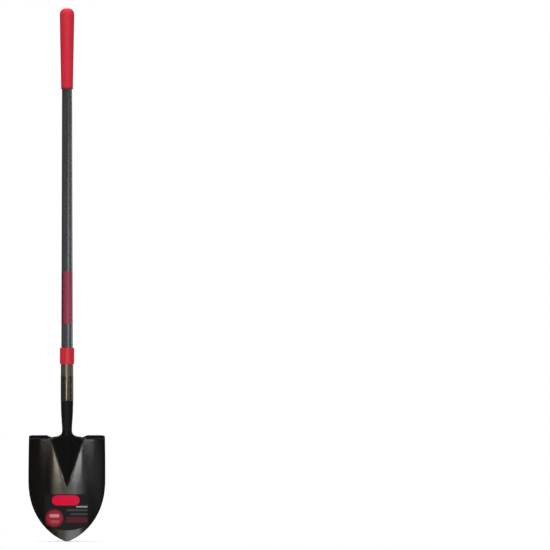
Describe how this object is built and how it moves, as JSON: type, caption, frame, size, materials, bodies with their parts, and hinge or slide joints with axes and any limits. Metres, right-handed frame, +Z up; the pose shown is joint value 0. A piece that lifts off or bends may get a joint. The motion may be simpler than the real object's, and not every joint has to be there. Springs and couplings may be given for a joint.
{
  "type": "round-point digging shovel",
  "caption": "Long-handled round-point shovel: stamped steel blade with foot steps and rolled socket, steel sleeve, plastic collar, tapered fibreglass pole and rubber end grip.",
  "frame": {"origin": "under the middle of the whole shovel, at the height of the blade's point", "axes": "+Z up along the pole towards the grip, +X to the right seen from the front, the blade's dished front faces -Y"},
  "size_m": [0.2122, 0.075, 1.47],
  "materials": {
    "black_blade_lacquer": "black baked lacquer, satin to gloss",
    "lacquered_steel": "bronze-tinted clear lacquer over brushed steel",
    "red_plastic": "moulded, semi-gloss",
    "grey_fibreglass": "pultruded fibreglass, satin",
    "core_wood": "unfinished hardwood",
    "plug_plastic": "moulded, matt",
    "red_rubber": "soft moulded rubber, fine grain",
    "rivet_steel": "bright zinc-plated steel",
    "pole_label_film": "printed film, plain maroon",
    "blade_label_film": null
  },
  "bodies": {
    "root": {"blade_socket": "black_blade_lacquer", "collar_sleeve": "lacquered_steel", "collar_ring": "red_plastic", "pole": "grey_fibreglass", "core_dowel": "core_wood", "end_plug": "plug_plastic", "grip": "red_rubber", "rivet": "rivet_steel", "rivet_washer": "rivet_steel", "pole_label": "pole_label_film", "blade_label": "blade_label_film"}
  },
  "joints": []
}
